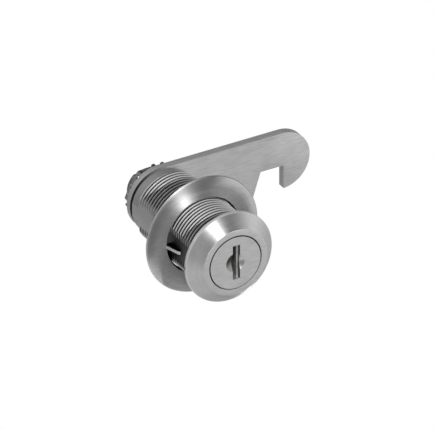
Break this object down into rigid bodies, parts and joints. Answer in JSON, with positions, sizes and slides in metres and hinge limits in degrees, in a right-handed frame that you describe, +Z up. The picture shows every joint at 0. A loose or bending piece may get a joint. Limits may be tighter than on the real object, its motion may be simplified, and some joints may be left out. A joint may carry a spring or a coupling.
{
  "type": "furniture lock",
  "caption": "Cam lock for a cabinet door: round bevelled head, flatted threaded barrel, keyed plug, hook cam and sliding rosette.",
  "frame": {"origin": "on the lock's axis, in the plane of the head's rear face, which seats on the door's front face", "axes": "+Y along the axis from the head towards the cam, +X towards the hook when locked, +Z up"},
  "size_m": [0.0531, 0.0405, 0.029],
  "materials": {
    "satin nickel": "satin nickel plate",
    "satin nickel plug": "satin nickel plate, brushed face",
    "brushed steel": "brushed, nickel plated",
    "brushed rosette": "brushed, nickel plated",
    "zinc plated steel": "zinc plated",
    "spring steel": "dark spring steel",
    "bright nickel": "bright nickel plate",
    "wafer brass": "plain stamped",
    "spring wire": "plain wire"
  },
  "bodies": {
    "housing": {"housing": "satin nickel"},
    "plug": {"plug": "satin nickel plug", "wafer_spring_1": "spring wire", "wafer_spring_2": "spring wire", "wafer_spring_3": "spring wire", "wafer_spring_4": "spring wire", "wafer_spring_5": "spring wire", "wafer_spring_6": "spring wire", "wafer_spring_7": "spring wire", "stop_washer": "zinc plated steel", "cam": "brushed steel", "toothed_washer": "spring steel", "cam_nut": "bright nickel"},
    "wafer_1": {"wafer_1": "wafer brass"},
    "wafer_2": {"wafer_2": "wafer brass"},
    "wafer_3": {"wafer_3": "wafer brass"},
    "wafer_4": {"wafer_4": "wafer brass"},
    "wafer_5": {"wafer_5": "wafer brass"},
    "wafer_6": {"wafer_6": "wafer brass"},
    "wafer_7": {"wafer_7": "wafer brass"},
    "rosette": {"rosette": "brushed rosette"}
  },
  "joints": [
    {"name": "plug_turn", "type": "hinge", "parent": "housing", "child": "plug", "pos_m": [0, 0, 0], "axis": [0, -1, 0], "range_deg": [0, 90]},
    {"name": "rosette_slide", "type": "slide", "parent": "housing", "child": "rosette", "axis": [0, 1, 0], "range_m": [-0.0064, 0.0172]},
    {"name": "wafer_1_slide", "type": "slide", "parent": "plug", "child": "wafer_1", "axis": [0, 0, 1], "range_m": [0, 0.0007], "stiffness_N_per_m": 150, "springref_m": 0.0017, "deforming": ["wafer_spring_1"]},
    {"name": "wafer_2_slide", "type": "slide", "parent": "plug", "child": "wafer_2", "axis": [0, 0, -1], "range_m": [0, 0.0007], "stiffness_N_per_m": 150, "springref_m": 0.0017, "deforming": ["wafer_spring_2"]},
    {"name": "wafer_3_slide", "type": "slide", "parent": "plug", "child": "wafer_3", "axis": [0, 0, 1], "range_m": [0, 0.0007], "stiffness_N_per_m": 150, "springref_m": 0.0017, "deforming": ["wafer_spring_3"]},
    {"name": "wafer_4_slide", "type": "slide", "parent": "plug", "child": "wafer_4", "axis": [0, 0, -1], "range_m": [0, 0.0007], "stiffness_N_per_m": 150, "springref_m": 0.0017, "deforming": ["wafer_spring_4"]},
    {"name": "wafer_5_slide", "type": "slide", "parent": "plug", "child": "wafer_5", "axis": [0, 0, 1], "range_m": [0, 0.0007], "stiffness_N_per_m": 150, "springref_m": 0.0017, "deforming": ["wafer_spring_5"]},
    {"name": "wafer_6_slide", "type": "slide", "parent": "plug", "child": "wafer_6", "axis": [0, 0, -1], "range_m": [0, 0.0007], "stiffness_N_per_m": 150, "springref_m": 0.0017, "deforming": ["wafer_spring_6"]},
    {"name": "wafer_7_slide", "type": "slide", "parent": "plug", "child": "wafer_7", "axis": [0, 0, 1], "range_m": [0, 0.0007], "stiffness_N_per_m": 150, "springref_m": 0.0017, "deforming": ["wafer_spring_7"]}
  ]
}
